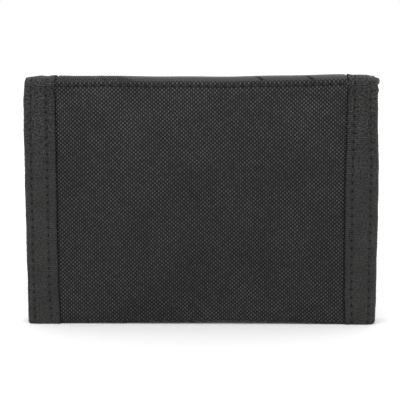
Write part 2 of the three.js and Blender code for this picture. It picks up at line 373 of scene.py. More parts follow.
def shell_look():
    """Coarse black plain weave, part of it under a smooth warm grey print."""
    look = Look("coarse_woven_cloth", Sheen_Weight=0.06, Sheen_Roughness=0.4,
                Specular_IOR_Level=0.16)
    u, v, printed = look.attribute("weave")
    warp_up, height = plain_weave(look, u, v)
    mottle = look.spread(look.noise(look.place(), 55.0, 3.0), 0.86, 1.14)
    tint = look.colour(look.noise(look.place(), 160.0, 2.0), (0.95, 1.0, 0.96), (1.06, 1.0, 1.02))
    wear_and_painted_light = look.span(look.math("ABSOLUTE", v), 12.0, 60.0, 1.25, 0.95)  # painted light: paler over the fold and the top of the covers, where the cloth faces the overhead lights
    cell = look.node("CombineXYZ", {0: look.math("FLOOR", u), 1: look.math("FLOOR", v)})
    per_yarn = look.node("TexWhiteNoise", {"Vector": cell}, noise_dimensions="2D")
    filament = look.noise(look.node("CombineXYZ", {
        0: look.mul(u, 9.0), 1: look.mul(v, 2.5)}), 1.0, 1.0)
    yarn = look.colour(warp_up, WEFT_COLOUR, WARP_COLOUR)
    # painted shade: the weave is darker where it lies lower, in the gaps between yarns
    tone = look.span(height, 0.3, 0.98, 0.05, 1.0)
    tone = look.mul(tone, look.mul(mottle, wear_and_painted_light))
    tone = look.mul(tone, look.span(per_yarn, 0.0, 1.0, 0.8, 1.25))
    tone = look.mul(tone, look.spread(filament, 0.75, 1.25))
    bare = look.node("Mix", {"Factor": 1.0, 6: look.times(yarn, tone), 7: tint}, output=2,
                     data_type="RGBA", blend_type="MULTIPLY")
    # painted shade in the weave's gaps under the print as well
    ink_tone = look.mul(look.span(mottle, 0.86, 1.14, 0.93, 1.07),
                        look.span(height, 0.3, 1.0, 0.86, 1.06))
    ink = look.times(PRINT_COLOUR, ink_tone)
    cloth = look.colour(look.mul(printed, 0.97), bare, ink)
    cloth = look.darken_holes_and_shade(cloth, 0.08)
    rough = look.add(look.spread(filament, 0.60, 0.72), look.mul(printed, -0.14))
    relief = look.math("MULTIPLY_ADD", height, look.sub(1.0, look.mul(printed, 0.7)),
                       look.mul(filament, 0.25))
    return look.finish(cloth, rough, relief, 0.12)


def ribbon_look():
    """Ribbed binding ribbon with needle holes along its stitch rows. Its ribs are clearest beside
    its free edge, where nothing has flattened them; their shade is painted into the colour as well
    as bumped."""
    look = Look("binding_ribbon", Sheen_Weight=0.12, Sheen_Roughness=0.4, Specular_IOR_Level=0.2)
    across, along, edge = look.attribute("weave")
    place = look.place()
    turns = look.mul(along, 2 * math.pi / RIB)
    sway = look.mul(look.noise(place, 900.0, 1.0), 1.6)
    rib = look.math("SINE", look.add(turns, sway))
    stronger_towards_top = look.span(along, 45, 92, 0.7, 1.5)  # painted rib shade and speckle are stronger towards the top
    clear = look.mul(look.span(across, 2.4, 4.2, 1.0, 0.35), stronger_towards_top)
    fine = look.noise(look.node("CombineXYZ", {
        0: look.mul(across, 1.5), 1: look.mul(along, 1.9)}), 1.0, 2.5)
    mottle = look.spread(look.noise(place, 170.0, 4.0), 0.84, 1.16)
    # painted shade: the colour is darker in each rib's hollow
    ribbed = look.math("MULTIPLY_ADD", look.mul(rib, clear), 0.42, 1.0)
    tone = look.mul(ribbed, mottle)
    speckle = look.mul(look.span(fine, 0.33, 0.7, -0.8, 1.0), stronger_towards_top)
    tone = look.mul(tone, look.math("MAXIMUM", look.add(speckle, 1.0), 0.1))
    base = look.colour(edge, RIBBON_COLOUR, RIBBON_EDGE_COLOUR)
    cloth = look.times(base, tone)
    cloth = look.darken_holes_and_shade(cloth, 0.05)
    rough = look.span(fine, 0.25, 0.75, 0.56, 0.72)
    height = look.add(look.mul(ribbed, 1.5), fine)
    return look.finish(cloth, rough, height, 0.12)


def lining_look():
    """Fine plain-woven nylon."""
    look = Look("nylon_lining", Sheen_Weight=0.15, Sheen_Roughness=0.35, Specular_IOR_Level=0.25)
    u, v, _ = look.attribute("weave")
    warp_up, height = plain_weave(look, u, v)
    mottle = look.spread(look.noise(look.place(), 120.0, 3.0), 0.8, 1.2)
    creases = look.noise(look.stretched(40.0, 40.0, 18.0), 1.0, 3.0)
    yarn = look.colour(warp_up, (0.020, 0.020, 0.021), (0.034, 0.034, 0.036))
    # painted shade: the weave is darker in the gaps between yarns
    tone = look.mul(look.span(height, 0.2, 1.0, 0.4, 1.1), mottle)
    cloth = look.times(yarn, tone)
    cloth = look.darken_holes_and_shade(cloth, 0.15)
    relief = look.math("MULTIPLY_ADD", creases, 10.0, look.mul(height, 0.35))
    return look.finish(cloth, look.span(mottle, 0.85, 1.15, 0.5, 0.62), relief, 0.1)


def interlining_look():
    """Stiff dark grey non-woven sheet between shell and lining."""
    look = Look("interlining_felt", Specular_IOR_Level=0.2)
    fibres = look.noise(look.place(), 2600.0, 3.0)
    clumps = look.noise(look.place(), 300.0, 2.0)
    tone = look.mul(look.spread(fibres, 0.8, 1.1), look.spread(clumps, 0.9, 1.05))
    cloth = look.times((0.06, 0.06, 0.058), tone)
    return look.finish(cloth, look.spread(fibres, 0.8, 0.95), fibres, 0.06)


def grained(look, noise, colour, tones, roughs, depth):
    """Finishes a look whose colour, roughness and height all follow one noise."""
    return look.finish(look.times(colour, look.spread(noise, *tones)),
                       look.spread(noise, *roughs), noise, depth)


def thread_look():
    """Twisted polyester sewing thread."""
    look = Look("sewing_thread", Sheen_Weight=0.1, Specular_IOR_Level=0.2)
    twist = look.noise(look.stretched(2600.0, 2600.0, 1400.0), 1.0, 2.0)
    return grained(look, twist, (0.015, 0.015, 0.015), (0.6, 1.5), (0.45, 0.65), 0.05)


def film_look():
    """Clear soft film with faint scuffs."""
    look = Look("clear_window_film", Alpha=0.28, IOR=1.5, Specular_IOR_Level=0.9)
    scuff = look.noise(look.stretched(260.0, 260.0, 50.0), 1.0, 1.0)
    cloud = look.noise(look.place(), 90.0, 2.0)
    colour = look.colour(look.span(scuff, 0.45, 0.75), (0.02, 0.021, 0.022), (0.06, 0.061, 0.062))
    rough = look.span(scuff, 0.35, 0.75, 0.18, 0.38)
    return look.finish(colour, rough, cloud, 0.06, 0.2)


def fastener_look():
    """Matt dark plastic and fuzz of a hook-and-loop fastener."""
    look = Look("hook_and_loop", Sheen_Weight=0.2, Specular_IOR_Level=0.3)
    fuzz = look.noise(look.place(), 1900.0, 3.0)
    return grained(look, fuzz, (0.013, 0.013, 0.014), (0.6, 1.5), (0.5, 0.75), 0.08)


def zip_tape_look():
    """Herringbone tape that carries the zip's teeth."""
    look = Look("zip_tape_weave", Sheen_Weight=0.1, Specular_IOR_Level=0.2)
    u, v, _ = look.attribute("weave")
    zigzag = look.math("PINGPONG", u, 2.0)
    twill = look.math("SINE", look.mul(look.add(v, zigzag), math.pi))
    grain = look.noise(look.place(), 1500.0, 2.0)
    tone = look.mul(look.span(twill, -1.0, 1.0, 0.6, 1.2), look.spread(grain, 0.8, 1.2))
    cloth = look.times((0.030, 0.030, 0.031), tone)
    return look.finish(cloth, look.spread(grain, 0.6, 0.75), twill, 0.05)


def coil_look():
    """Dark nylon of the zip's teeth, polished on top by the slider."""
    look = Look("zip_coil_nylon", Specular_IOR_Level=0.5)
    grain = look.noise(look.place(), 1200.0, 2.0)
    return grained(look, grain, (0.020, 0.020, 0.021), (0.8, 1.25), (0.28, 0.42), 0.02)


def metal_look():
    """Gunmetal plating, brighter and smoother where edges have rubbed."""
    look = Look("gunmetal_plating", Metallic=1.0)
    cast = look.noise(look.place(), 700.0, 3.0)
    # here it is real wear only: the plating is rubbed paler at the edges
    wear_and_painted_light = look.span(look.node("NewGeometry", output=7), 0.52, 0.62)
    scratch = look.noise(look.stretched(150.0, 150.0, 2400.0), 1.0, 2.0)
    colour = look.colour(wear_and_painted_light, (0.16, 0.16, 0.17), (0.46, 0.45, 0.43))
    colour = look.times(colour, look.spread(cast, 0.85, 1.1))
    rough = look.add(look.span(scratch, 0.35, 0.7, 0.24, 0.4), look.mul(wear_and_painted_light, -0.08))
    return look.finish(colour, rough, cast, 0.02)


SHELL = shell_look()
RIBBON = ribbon_look()
LINING = lining_look()
INTERLINING = interlining_look()
THREAD_LOOK = thread_look()
FILM = film_look()
FASTENER = fastener_look()
ZIP_TAPE = zip_tape_look()
COIL = coil_look()
METAL = metal_look()


# ---- cloth simulation

def blown_sheet(width, height, columns=49, rows=41, frames=20):
    """How far a slack sheet held at its edges swells under an even pressure, as a share of the
    most, on a grid. It is simulated at ten times life size."""
    scale = 10 * MM
    xs = np.linspace(-width / 2, width / 2, columns) * scale
    zs = np.linspace(-height / 2, height / 2, rows) * scale
    x, z = np.meshgrid(xs, zs)
    across, up = np.abs(x / xs[-1]), np.abs(z / zs[-1])
    pillow = (1 - across ** 3) * (1 - up ** 3)
    start = 0.004 * np.sin(9 * x / xs[-1] + 4 * z / zs[-1]) * pillow
    points = np.stack([x, start, z], -1).reshape(-1, 3)
    obj = build("cover_simulation", (points / MM, grid_faces(rows, columns)), SHELL)
    rim = np.flatnonzero((across.ravel() > 0.999) | (up.ravel() > 0.999))
    obj.vertex_groups.new(name="held").add(rim.tolist(), 1.0, "REPLACE")
    cloth = obj.modifiers.new("cloth", "CLOTH")
    for key, value in dict(
        quality=6, mass=0.2, vertex_group_mass="held", tension_stiffness=15,
        compression_stiffness=15, shear_stiffness=5, bending_stiffness=0.4, shrink_min=-0.012,
        use_pressure=True, uniform_pressure_force=4,
    ).items():
        setattr(cloth.settings, key, value)
    cloth.settings.effector_weights.gravity = 0
    cloth.collision_settings.use_collision = False
    scene = bpy.context.scene
    for step in range(1, frames + 1):
        scene.frame_set(step)
    swollen = obj.evaluated_get(bpy.context.evaluated_depsgraph_get()).data
    depth = np.array([vertex.co[1] for vertex in swollen.vertices]).reshape(rows, columns)
    scene.frame_set(1)
    bpy.data.objects.remove(obj)
    depth *= np.sign(depth.mean())
    return np.clip(depth / depth.max(), 0, 1.05)


def swelling(z_low, z_high, most):
    """A function of x and z that gives a cover's swell in millimetres."""
    depth = blown_sheet(2 * RIBBON_INNER, z_high - z_low)
    rows, columns = depth.shape

    def swell(x, z):
        i = np.clip((z - z_low) / (z_high - z_low), 0, 1) * (rows - 1)
        j = np.clip((x / RIBBON_INNER + 1) / 2, 0, 1) * (columns - 1)
        i0 = np.minimum(i.astype(int), rows - 2)
        j0 = np.minimum(j.astype(int), columns - 2)
        a, b = i - i0, j - j0
        low = depth[i0, j0] * (1 - b) + depth[i0, j0 + 1] * b
        high = depth[i0 + 1, j0] * (1 - b) + depth[i0 + 1, j0 + 1] * b
        return most * (low * (1 - a) + high * a)

    return swell


# ---- stitches

def capsule(sides=8):
    """A rounded rod. For each point: the end that it belongs to and how far past that end it
    bulges, and its place across the rod; then the faces."""
    turn = np.linspace(0, 2 * math.pi, sides, endpoint=False)
    around = np.column_stack([np.cos(turn), np.sin(turn)])
    ends, points = [], []
    for end, angles in ((-1.0, (-90, -45, 0)), (1.0, (0, 45, 90))):
        for angle in np.radians(angles):
            ends += [(end, np.sin(angle))] * sides
            points.append(max(np.cos(angle), 0.02) * around)
    return np.array(ends), np.vstack(points), ring_faces(6, sides)


def rods(starts, ends, ups, wide, tall):
    """One rounded rod from each start to each end; ups are the directions of its tall side."""
    ends_of, ring, faces = capsule()
    parts = []
    for start, end, up in zip(starts, ends, ups):
        along = (end - start) / np.linalg.norm(end - start)
        aside = np.cross(along, up)
        aside /= np.linalg.norm(aside)
        up = np.cross(aside, along)
        middle, half = (start + end) / 2, np.linalg.norm(end - start) / 2 - tall
        length = ends_of[:, :1] * half + ends_of[:, 1:] * tall
        points = middle + length * along + ring[:, :1] * wide * aside + ring[:, 1:] * tall * up
        parts.append((points, faces))
    return combine(parts)


def sewn(line, normals, pitch=STITCH, gap=0.5, sink=0.0, start=0.0, radius=THREAD):
    """Stitches along a line on the cloth: its points, and the cloth's normals there."""
    run = run_along(line)
    first = np.arange(start + gap / 2, run[-1] - pitch, pitch)
    last = first + pitch - gap
    up = taken_at((first + last) / 2, run, normals)
    starts, ends = (taken_at(places, run, line) - sink * up for places in (first, last))
    return rods(starts, ends, up, radius * 1.15, radius)


def to_hole(run, pitch):
    """How far each place along a seam is from the nearest place where the needle went through."""
    past = np.mod(run, pitch)
    return np.minimum(past, pitch - past)


# ---- woven shell

# The print's left edge is slanted, with one more stripe to its left, and pairs of slanted gaps
# cross it.
EDGE_X, EDGE_SLANT, STRIPE_APART = -32.5, 1.54, 10.5
GAP_X, GAP_SLANT, GAP_PERIOD, GAP_APART, GAP_WIDTH = 18.1, 0.95, 76, 18.2, 1.5


def print_mask(x, s):
    """The print on the shell: all of it right of a slanted edge, but for thin slanted gaps. s is
    the distance along the cloth from the middle of the spine, growing towards the front. Returns
    the ink and the gaps."""
    fade = smooth((s - 6) / 10)
    edge = EDGE_X - EDGE_SLANT * np.minimum(s, 8) - 25 * fade
    inked = smooth((x - edge) / 0.6 + 0.5)
    inked = np.maximum(inked, 0.8 * smooth((0.9 - np.abs(x - edge + STRIPE_APART)) / 0.5 + 0.5))
    band = np.mod(x - GAP_X + GAP_SLANT * s + GAP_PERIOD / 2, GAP_PERIOD) - GAP_PERIOD / 2
    gap = 0 * x
    for centre in (0, GAP_APART):
        gap = np.maximum(gap, 1 - smooth((np.abs(band - centre) - GAP_WIDTH / 2) / 0.3 + 0.5))
    return inked * (1 - gap), inked * gap


def weave_height(u, v):
    """Height of the weave on its half-yarn lattice: warp tops are highest, gaps lowest."""
    i, j = np.rint(2 * v).astype(int), np.rint(2 * u).astype(int)
    warp_up = (np.floor_divide(i, 2) + np.floor_divide(j, 2)) % 2 == 1
    row_middle, column_middle = i % 2 == 1, j % 2 == 1
    height = np.where(row_middle & column_middle, np.where(warp_up, 1.0, 0.5), 0.0)
    height = np.where(row_middle & ~column_middle, 0.25, height)
    return np.where(~row_middle & column_middle, 0.6, height)


def shell_columns():
    count = int(FINE_HALF / (WARP / 2))
    inner = np.arange(-count, count + 1) * WARP / 2
    outer = np.linspace(inner[-1], SHEET_HALF, 6)[1:]
    return np.r_[-outer[::-1], inner, outer]


def held_down(x, z):
    """The cloth dips where the ribbons are sewn onto it."""
    return -0.28 * np.exp(-((np.abs(x) - inner_edge(x, z)) / 0.9) ** 2)


def between_ribbons(x, z):
    """1 between the ribbons, and 0 from their inner edges on."""
    return 1 - smooth((np.abs(x) - inner_edge(x, z) + 0.7) / 0.7)


def fold_lift(x, z):
    """Between the ribbons the cloth over the fold stands up as high as they do."""
    return FOLD_LIFT * between_ribbons(x, z) * smooth((z - TURN_Z + 4) / 7)


def hem_lift(x, z):
    """The back panel's hem lies over the spine's cloth, except under the ribbons."""
    return HEM_LIFT * between_ribbons(x, z) * smooth((z - TURN_Z + 6.75) / 6.75)


def shell_cloth(name, side, path, lifts=(held_down, fold_lift), swell=None, printed=False,
                rows_sewn=()):
    """A piece of coarse woven cloth whose profile is a rising path in m and z. rows_sewn are
    distances from the path's end at which a row of stitches crosses it. Returns the object and
    a function that gives the line and normals of such a row."""
    profile, left = resample(path, WEFT / 2)
    xs = shell_columns()
    x, m = np.meshgrid(xs, profile[:, 0])
    z = np.repeat(profile[:, 1:], len(xs), axis=1)
    lift = sum(f(x, z) for f in lifts)
    out_m, out_z = m - TURN_M, np.clip(z - TURN_Z, 0, None)
    out_m = np.where(out_z > 0, out_m, 1)
    size = np.hypot(out_m, out_z)
    m, z = m + lift * out_m / size, z + lift * out_z / size
    if swell is not None:
        m = m + swell(x, z)
    points = wander(settle(np.stack([x, Y_MID + side * m, z], -1)))
    normals = grid_normals(points, side)

    s = side * left[:, None] + 0 * x
    mask, gap = print_mask(x, s) if printed else (0 * x, 0 * x)
    u, v = x / WARP, s / WEFT
    height = np.where(np.abs(x) < FINE_HALF, weave_height(u, v), 0.3)
    # painted shadow: the cloth is darkened along the ribbons' inner edges, where their edges shade
    # it
    holes_and_painted_shade = 0.75 * np.exp(-((np.abs(x) - inner_edge(x, z) + 0.1) / 0.4) ** 2)
    # the print's gaps are darkened and sunk as well
    holes_and_painted_shade, height = np.maximum(holes_and_painted_shade, 0.8 * gap), height * (1 - 0.7 * gap)
    for distance in rows_sewn:
        near = np.exp(-((left[:, None] - distance) / 0.46) ** 2)
        at_hole = np.exp(-(to_hole(x + xs[0], HEM_PITCH) / 0.72) ** 2)
        # painted shade along the hem's stitch row, darkest at the needle holes
        height = height * (1 - 0.6 * near) - near * (0.8 + 2.0 * at_hole)
        holes_and_painted_shade = np.maximum(holes_and_painted_shade, near * (0.6 + 0.4 * at_hole))
    raised = points + normals * (RELIEF * height * (1 - 0.55 * mask))[..., None]

    stride = 6
    rows_in = np.unique(np.r_[np.arange(0, len(profile), stride), len(profile) - 1])
    columns_in = np.unique(np.r_[np.arange(0, len(xs), stride), len(xs) - 1])
    pick = np.ix_(rows_in, columns_in)
    inner = points[pick] - CLOTH * normals[pick]
    flip = side == FRONT
    shape = combine([
        (raised, grid_faces(*x.shape, flip)),
        (inner, grid_faces(*inner.shape[:2], not flip)),
    ])
    weave = np.concatenate([np.stack([u, v, mask], -1).reshape(-1, 3),
                            np.stack([u[pick], v[pick], 0 * u[pick]], -1).reshape(-1, 3)])
    holes = np.r_[holes_and_painted_shade.ravel(), np.zeros(inner.shape[0] * inner.shape[1])]
    obj = build(name, shape, SHELL, weave, holes)

    def row(distance):
        k = np.argmin(np.abs(left - distance))
        inside = np.abs(xs) < RIBBON_INNER - 0.2
        return points[k][inside], normals[k][inside]

    return obj, row


def turned_up(face, low, turn_in):
    """The start of a rising path whose lower edge is turned under."""
    r = TURN_ROUND
    return chain((face - 2 * r, low + turn_in), arc((face - r, low + r), r, 180, 360, 9))


def turned_down(face, high, turn_in):
    """The end of a rising path whose upper edge is turned under."""
    r = TURN_ROUND
    return chain(arc((face - r, high - r), r, 0, 180, 9), (face - 2 * r, high - turn_in))


def on_fold(radius, angle):
    a = math.radians(angle)
    return TURN_M + radius * math.cos(a), TURN_Z + radius * math.sin(a)


def sew_row(name, row, distance, body):
    """Sews a row across a shell piece; body is as for attach."""
    line, normals = row(distance)
    start = np.mod(SHEET_HALF - line[0, 0], HEM_PITCH)
    thread = sewn(line, normals, HEM_PITCH, gap=1.2, sink=0.1, start=start)
    attach(build(name, thread, THREAD_LOOK), body, "woven_shell")


def back_panel():
    r = TURN_ROUND
    under = FOLD_RADIUS - 2 * r
    path = chain(
        turned_up(COVER_FACE, SHELL_BOTTOM, 8),
        arc((TURN_M, TURN_Z), FOLD_RADIUS, 0, HEM_ANGLE),
        arc(on_fold(FOLD_RADIUS - r, HEM_ANGLE), r, HEM_ANGLE, HEM_ANGLE + 180, 9),
        arc((TURN_M, TURN_Z), under, HEM_ANGLE, 0),
        (TURN_M + under, TURN_Z - 3.5),
    )
    hem_length = np.radians(HEM_ANGLE) * under + 3.5 + math.pi * r / 2
    swell = swelling(SHELL_BOTTOM, TURN_Z, CROWN)
    obj, row = shell_cloth("back_panel_cloth", BACK, path, (held_down, fold_lift, hem_lift), swell,
                           rows_sewn=(hem_length + HEM_STITCH,))
    attach(obj, BACK, "woven_shell", "back_panel")
    sew_row("back_hem_stitches", row, hem_length + HEM_STITCH, BACK)


def spine_back():
    """The spine's cloth from the middle of the fold down under the back panel's hem."""
    deep = FOLD_RADIUS - 0.5
    angles = np.linspace(0, 90, 60)
    radius = deep + (FOLD_RADIUS - deep) * smooth((angles - HEM_ANGLE + 5) / 9)
    curve = np.array([on_fold(r, a) for r, a in zip(radius, angles)])
    path = chain((TURN_M + deep, TURN_Z - 5), curve, (0, TURN_Z + FOLD_RADIUS))
    obj, _ = shell_cloth("spine_cloth", BACK, path, printed=True)
    attach(obj, BACK, "printed_shell", "spine_panel")


def front_upper():
    """The printed cloth from the middle of the fold down to the zip."""
    path = chain(
        turned_up(COVER_FACE, ZIP_HIGH, 6),
        arc((TURN_M, TURN_Z), FOLD_RADIUS, 0, 90),
        (0, TURN_Z + FOLD_RADIUS),
    )
    from_top = path_length(path) - 6 - math.pi * TURN_ROUND / 2 - 2
    obj, row = shell_cloth("front_upper_cloth", FRONT, path, printed=True, rows_sewn=(from_top,))
    attach(obj, FRONT, "printed_shell", "front_panel_upper", "spine_panel")
    sew_row("zip_upper_stitches", row, from_top, "front_half")


def front_lower():
    """The printed cover below the zip."""
    path = chain(turned_up(COVER_FACE, SHELL_BOTTOM, 8), turned_down(COVER_FACE, ZIP_LOW, 6))
    from_end = 6 + math.pi * TURN_ROUND / 2 + 2
    swell = swelling(SHELL_BOTTOM, ZIP_LOW, CROWN)
    obj, row = shell_cloth("front_lower_cloth", FRONT, path, swell=swell, printed=True,
                           rows_sewn=(from_end,))
    attach(obj, "front_half", "printed_shell", "front_panel_lower")
    sew_row("zip_lower_stitches", row, from_end, "front_half")


# ---- ribbons

# Distances of each side's two stitch rows from the ribbon's inner edge, as sewn on the real thing.
STITCH_ROWS = {"left": (3.15, 8.6), "right": (2.4, 8.4)}
LEG_END_INSIDE = 0.55  # m of the ribbon's inner leg
CORNER_DROP = {"left": 0.35, "right": 1.1}
PROUD = {"left": 0.15, "right": 0.3}
RIBBON_SEED = {("left", BACK): 0.4, ("right", BACK): 2.2,
               ("left", FRONT): 3.9, ("right", FRONT): 5.3}


def waver(s, seed, size):
    """A hand-sewn edge wanders a little along its length s."""
    return size * (np.sin(s / 9.3 + seed) + 0.6 * np.sin(s / 3.7 + 2.1 * seed)
                   + 0.35 * np.sin(s / 1.6 + seed))


def ribbon_paths():
    """The outer and inner legs' paths, as points in m and z at equal shares of their length."""
    outer_radius, inner_radius = RIBBON_FACE - TURN_M, 1.65
    outer = chain((RIBBON_FACE, 0), arc((TURN_M, TURN_Z), outer_radius, 0, 90),
                  (0, TURN_Z + outer_radius))
    zs = np.linspace(76, TURN_Z, 20)
    swing = LEG_END_INSIDE + ((TURN_M + inner_radius - LEG_END_INSIDE)
                              * smooth((zs - 76) / (TURN_Z - 76)))
    inner = chain((LEG_END_INSIDE, 0), np.column_stack([swing, zs]),
                  arc((TURN_M, TURN_Z), inner_radius, 0, 90), (0, TURN_Z + inner_radius))
    return outer, inner


def ribbon_columns(rows):
    """Places across a ribbon's leg, closer together at its stitch rows."""
    near = [row + d for row in rows for d in (-0.45, -0.2, 0, 0.2, 0.45)]
    return np.unique(np.round(np.r_[np.arange(0, RIBBON_WIDTH - 2.2, 0.7), near], 3))


def corner_shape(side_name, s):
    """How far the edge is pushed out at the fold: a low knob on the left, a flare on the right."""
    past = s - TURN_Z
    if side_name == "left":
        return -0.5 * smooth((past + 6) / 8) - 0.3 * np.clip(1 - s / 0.9, 0, 1) ** 2
    bump = 0.38 * np.exp(-((past + 1.3) / 1.0) ** 2)
    return 1.05 * smooth((past - 2.8) / 5.7) + bump - 0.8 * np.clip(1 - s / 1.2, 0, 1) ** 2


def side_ribbon(side_name, side):
    """The ribbon folded round one side edge of one half, and on to the middle of the spine."""
    half_name = "front" if side == FRONT else "back"
    sign = -1 if side_name == "left" else 1
    seed = RIBBON_SEED[side_name, side]
    stitch_rows = STITCH_ROWS[side_name]
    outer, inner = ribbon_paths()
    out_points, left = resample(outer, RIB / 4)
    length_in = run_along(inner)
    # The inner leg takes the same heights below the fold, and the same angles round it.
    total_out = left.max()
    s = total_out - left
    turn_in = np.interp(TURN_Z, inner[:21, 1], length_in[:21])  # where the inner leg starts to turn
    round_out = np.clip(s - TURN_Z, 0, None) / (total_out - TURN_Z)
    run_in = np.where(s < TURN_Z, s * turn_in / TURN_Z,
                      length_in[-1] - (length_in[-1] - turn_in) * (1 - round_out))
    in_points = taken_at(run_in, length_in, inner)

    leg = ribbon_columns(stitch_rows)
    web = np.linspace(0, 1, 15)[1:-1]
    tau = np.r_[0 * leg, web, 1 + 0 * leg]  # 0 on the outer leg, 1 on the inner leg
    bend = 1 - (1 - np.abs(2 * web - 1) ** 2.6) ** (1 / 2.6)
    on_top = smooth((s - TURN_Z) / 3)
    flare = on_top if side_name == "right" else 0 * s  # where the right edge is sharper
    round_in = (2.2 - 1.3 * flare)[:, None]
    flat = np.broadcast_to(leg, (len(s), len(leg)))
    across = np.hstack([flat, RIBBON_WIDTH - round_in * bend, flat[:, ::-1]])
    tau = tau[None, :]
    shift = waver(s, seed, 0.08) + corner_shape(side_name, s) + stray(OUTER_STRAY, side_name, s)
    inner_shift = waver(s, seed + 1.7, 0.06) + stray(INNER_STRAY, side_name, s)
    toward_edge = smooth(across / RIBBON_WIDTH)
    x = sign * (RIBBON_INNER + across + shift[:, None] * toward_edge
                + inner_shift[:, None] * (1 - toward_edge))
    m = out_points[:, :1] * (1 - tau) + in_points[:, :1] * tau
    z = out_points[:, 1:] * (1 - tau) + in_points[:, 1:] * tau
    z = z - CORNER_DROP[side_name] * on_top[:, None] * smooth((across - RIBBON_WIDTH + 5) / 5)
    points = np.stack([x, Y_MID + side * m, z], -1)
    normals = grid_normals(points, side) * sign

    # The free inner edge of the outer leg stands proud at the top and bottom.
    ends = np.exp(-(s / 2.5) ** 2) + np.exp(-((total_out - s - 1.5) / 3.0) ** 2)
    proud = PROUD[side_name] * ends[:, None] * np.exp(-(across / 1.3) ** 2) * (tau < 0.5)
    from_hole = to_hole(s + seed, STITCH)[:, None]
    holes_and_painted_shade, groove = 0 * x, 0 * x
    # painted shade along each stitch row, darkest at the needle holes
    for row in stitch_rows:
        near = np.exp(-((across - row) / 0.4) ** 2)
        holes_and_painted_shade = np.maximum(holes_and_painted_shade, near * (0.22 + 0.78 * np.exp(-(from_hole / 0.5) ** 2)))
        groove = np.maximum(groove, near)
    rib = np.sin(2 * math.pi * s / RIB)[:, None] * (1 - 0.65 * smooth((across - 2.4) / 1.8))
    lumps = waver(s * 0.7, seed + 3, 0.05)[:, None] * np.sin(across * 1.3)
    rough = np.random.default_rng(int(seed * 10)).normal(size=x.shape)
    for _ in range(2):
        rough[1:-1] = (rough[:-2] + rough[1:-1] + rough[2:]) / 2
    lumps = lumps + 0.03 * rough
    # Inside the fold the cloth is pressed flat.
    calm = 1 - 0.85 * tau * smooth((s - TURN_Z + 5) / 6)[:, None]
    height = proud + calm * (0.03 * rib + lumps - 0.05 * groove - 0.28 * holes_and_painted_shade)
    raised = points + normals * height[..., None]

    name = f"{side_name}_{half_name}_ribbon"
    edge = smooth((across - 9.6) / 1.5)
    weave = np.stack([across, s[:, None] + 0 * x, edge], -1)
    # painted shade along the outer leg's free inner edge
    holes_and_painted_shade = np.maximum(holes_and_painted_shade, 0.45 * np.exp(-(across / 0.4) ** 2) * (tau < 0.5))
    flip = (side == FRONT) != (sign == -1)
    obj = build(name, (raised, grid_faces(*x.shape, flip)), RIBBON, weave, holes_and_painted_shade)
    thicken(obj, 0.33)
    attach(obj, side, "binding_ribbon", f"{side_name}_{half_name}_binding",
           f"{side_name}_spine_binding")

    rows_of_thread = []
    start = (STITCH - seed) % STITCH
    for row in stitch_rows:
        for k in (np.argmin(np.abs(leg - row)), len(across[0]) - 1 - np.argmin(np.abs(leg - row))):
            rows_of_thread.append(sewn(points[:, k], normals[:, k], sink=0.1, gap=1.0, start=start))
    stitches = build(name + "_stitches", combine(rows_of_thread), THREAD_LOOK)
    attach(stitches, side, "binding_ribbon")


# ---- linings and pockets

def flat_cloth(name, side, path, replaced, body=None, step=1.1, thickness=0.26, material=LINING,
               slot="lining_cloth", sway=0.08):
    """A finer sheet inside the wallet, whose profile is a rising path in m and z. Without a body
    it crosses the fold."""
    profile, left = resample(path, step)
    profile = np.vstack([path[:1], profile])
    left = np.r_[left[0] + np.linalg.norm(profile[1] - path[0]), left]
    xs = np.linspace(-SHEET_HALF, SHEET_HALF, int(2 * SHEET_HALF / step) + 1)
    x, m = np.meshgrid(xs, profile[:, 0])
    z = np.repeat(profile[:, 1:], len(xs), axis=1)
    free = (1 - (np.abs(x) / SHEET_HALF) ** 4) * smooth(z / 30)
    seed = len(name)
    m = m + sway * free * (np.sin(x / 11.3 + seed) * np.sin(z / 17.1 + 2 * seed)
                           + 0.5 * np.sin(x / 5.1 + z / 9.0))
    points = settle(np.stack([x, Y_MID + side * m, z], -1))
    weave = np.stack([x, left[:, None] + 0 * x, 0 * x], -1) / LINING_YARN
    obj = build(name, (points, grid_faces(*x.shape, side == FRONT)), material, weave, 0 * x)
    thicken(obj, thickness, 0.0)
    attach(obj, body or side, slot, *replaced)


def straight_row(name, side, m, z, body, half_width, slot):
    """A row of stitches along X on a flat sheet; the stitches are on its inner face."""
    xs = np.linspace(-half_width, half_width, 40)
    line = settle(np.stack([xs, 0 * xs + Y_MID + side * m, 0 * xs + z], -1))
    normals = np.tile([0.0, -side, 0.0], (len(xs), 1))
    obj = build(name, sewn(line, normals, gap=0.7, sink=0.02), THREAD_LOOK)
    attach(obj, body, slot)


def mid_m(node, side):
    low, high = corners(node)
    return side * ((low[1] + high[1]) / 2 - Y_MID)


def hemmed(m, low, high, turn_in, room=0.22):
    """A pocket's profile: up from its bottom, with its top edge turned back on itself."""
    bend = arc((m + room / 2, high - room / 2), room / 2, 180, 0, 7)
    return chain((m, low), bend, (m + room, high - turn_in))


def swung(m_low, z_low, m_high, z_bend=74):
    """A path that rises from a flat sheet's place to the cloth's place at the fold."""
    zs = np.linspace(z_bend, TURN_Z, 20)
    return chain((m_low, z_low), np.column_stack([
        m_low + (m_high - m_low) * smooth((zs - z_bend) / (TURN_Z - z_bend)), zs]))


def linings():
    lining_radius = 2.2
    fold = arc((TURN_M, TURN_Z), lining_radius, 0, 90)
    for name, side, m_low, z_low, replaced in (
        ("front_lining_cloth", FRONT, mid_m("front_lining", FRONT), 1,
         ("front_lining", "spine_lining")),
        ("back_lining_cloth", BACK, 4.0, 24, ("spine_lining",)),
    ):
        path = chain(swung(m_low, z_low, TURN_M + lining_radius), fold, (0, TURN_Z + lining_radius))
        flat_cloth(name, side, path, replaced, step=0.9)


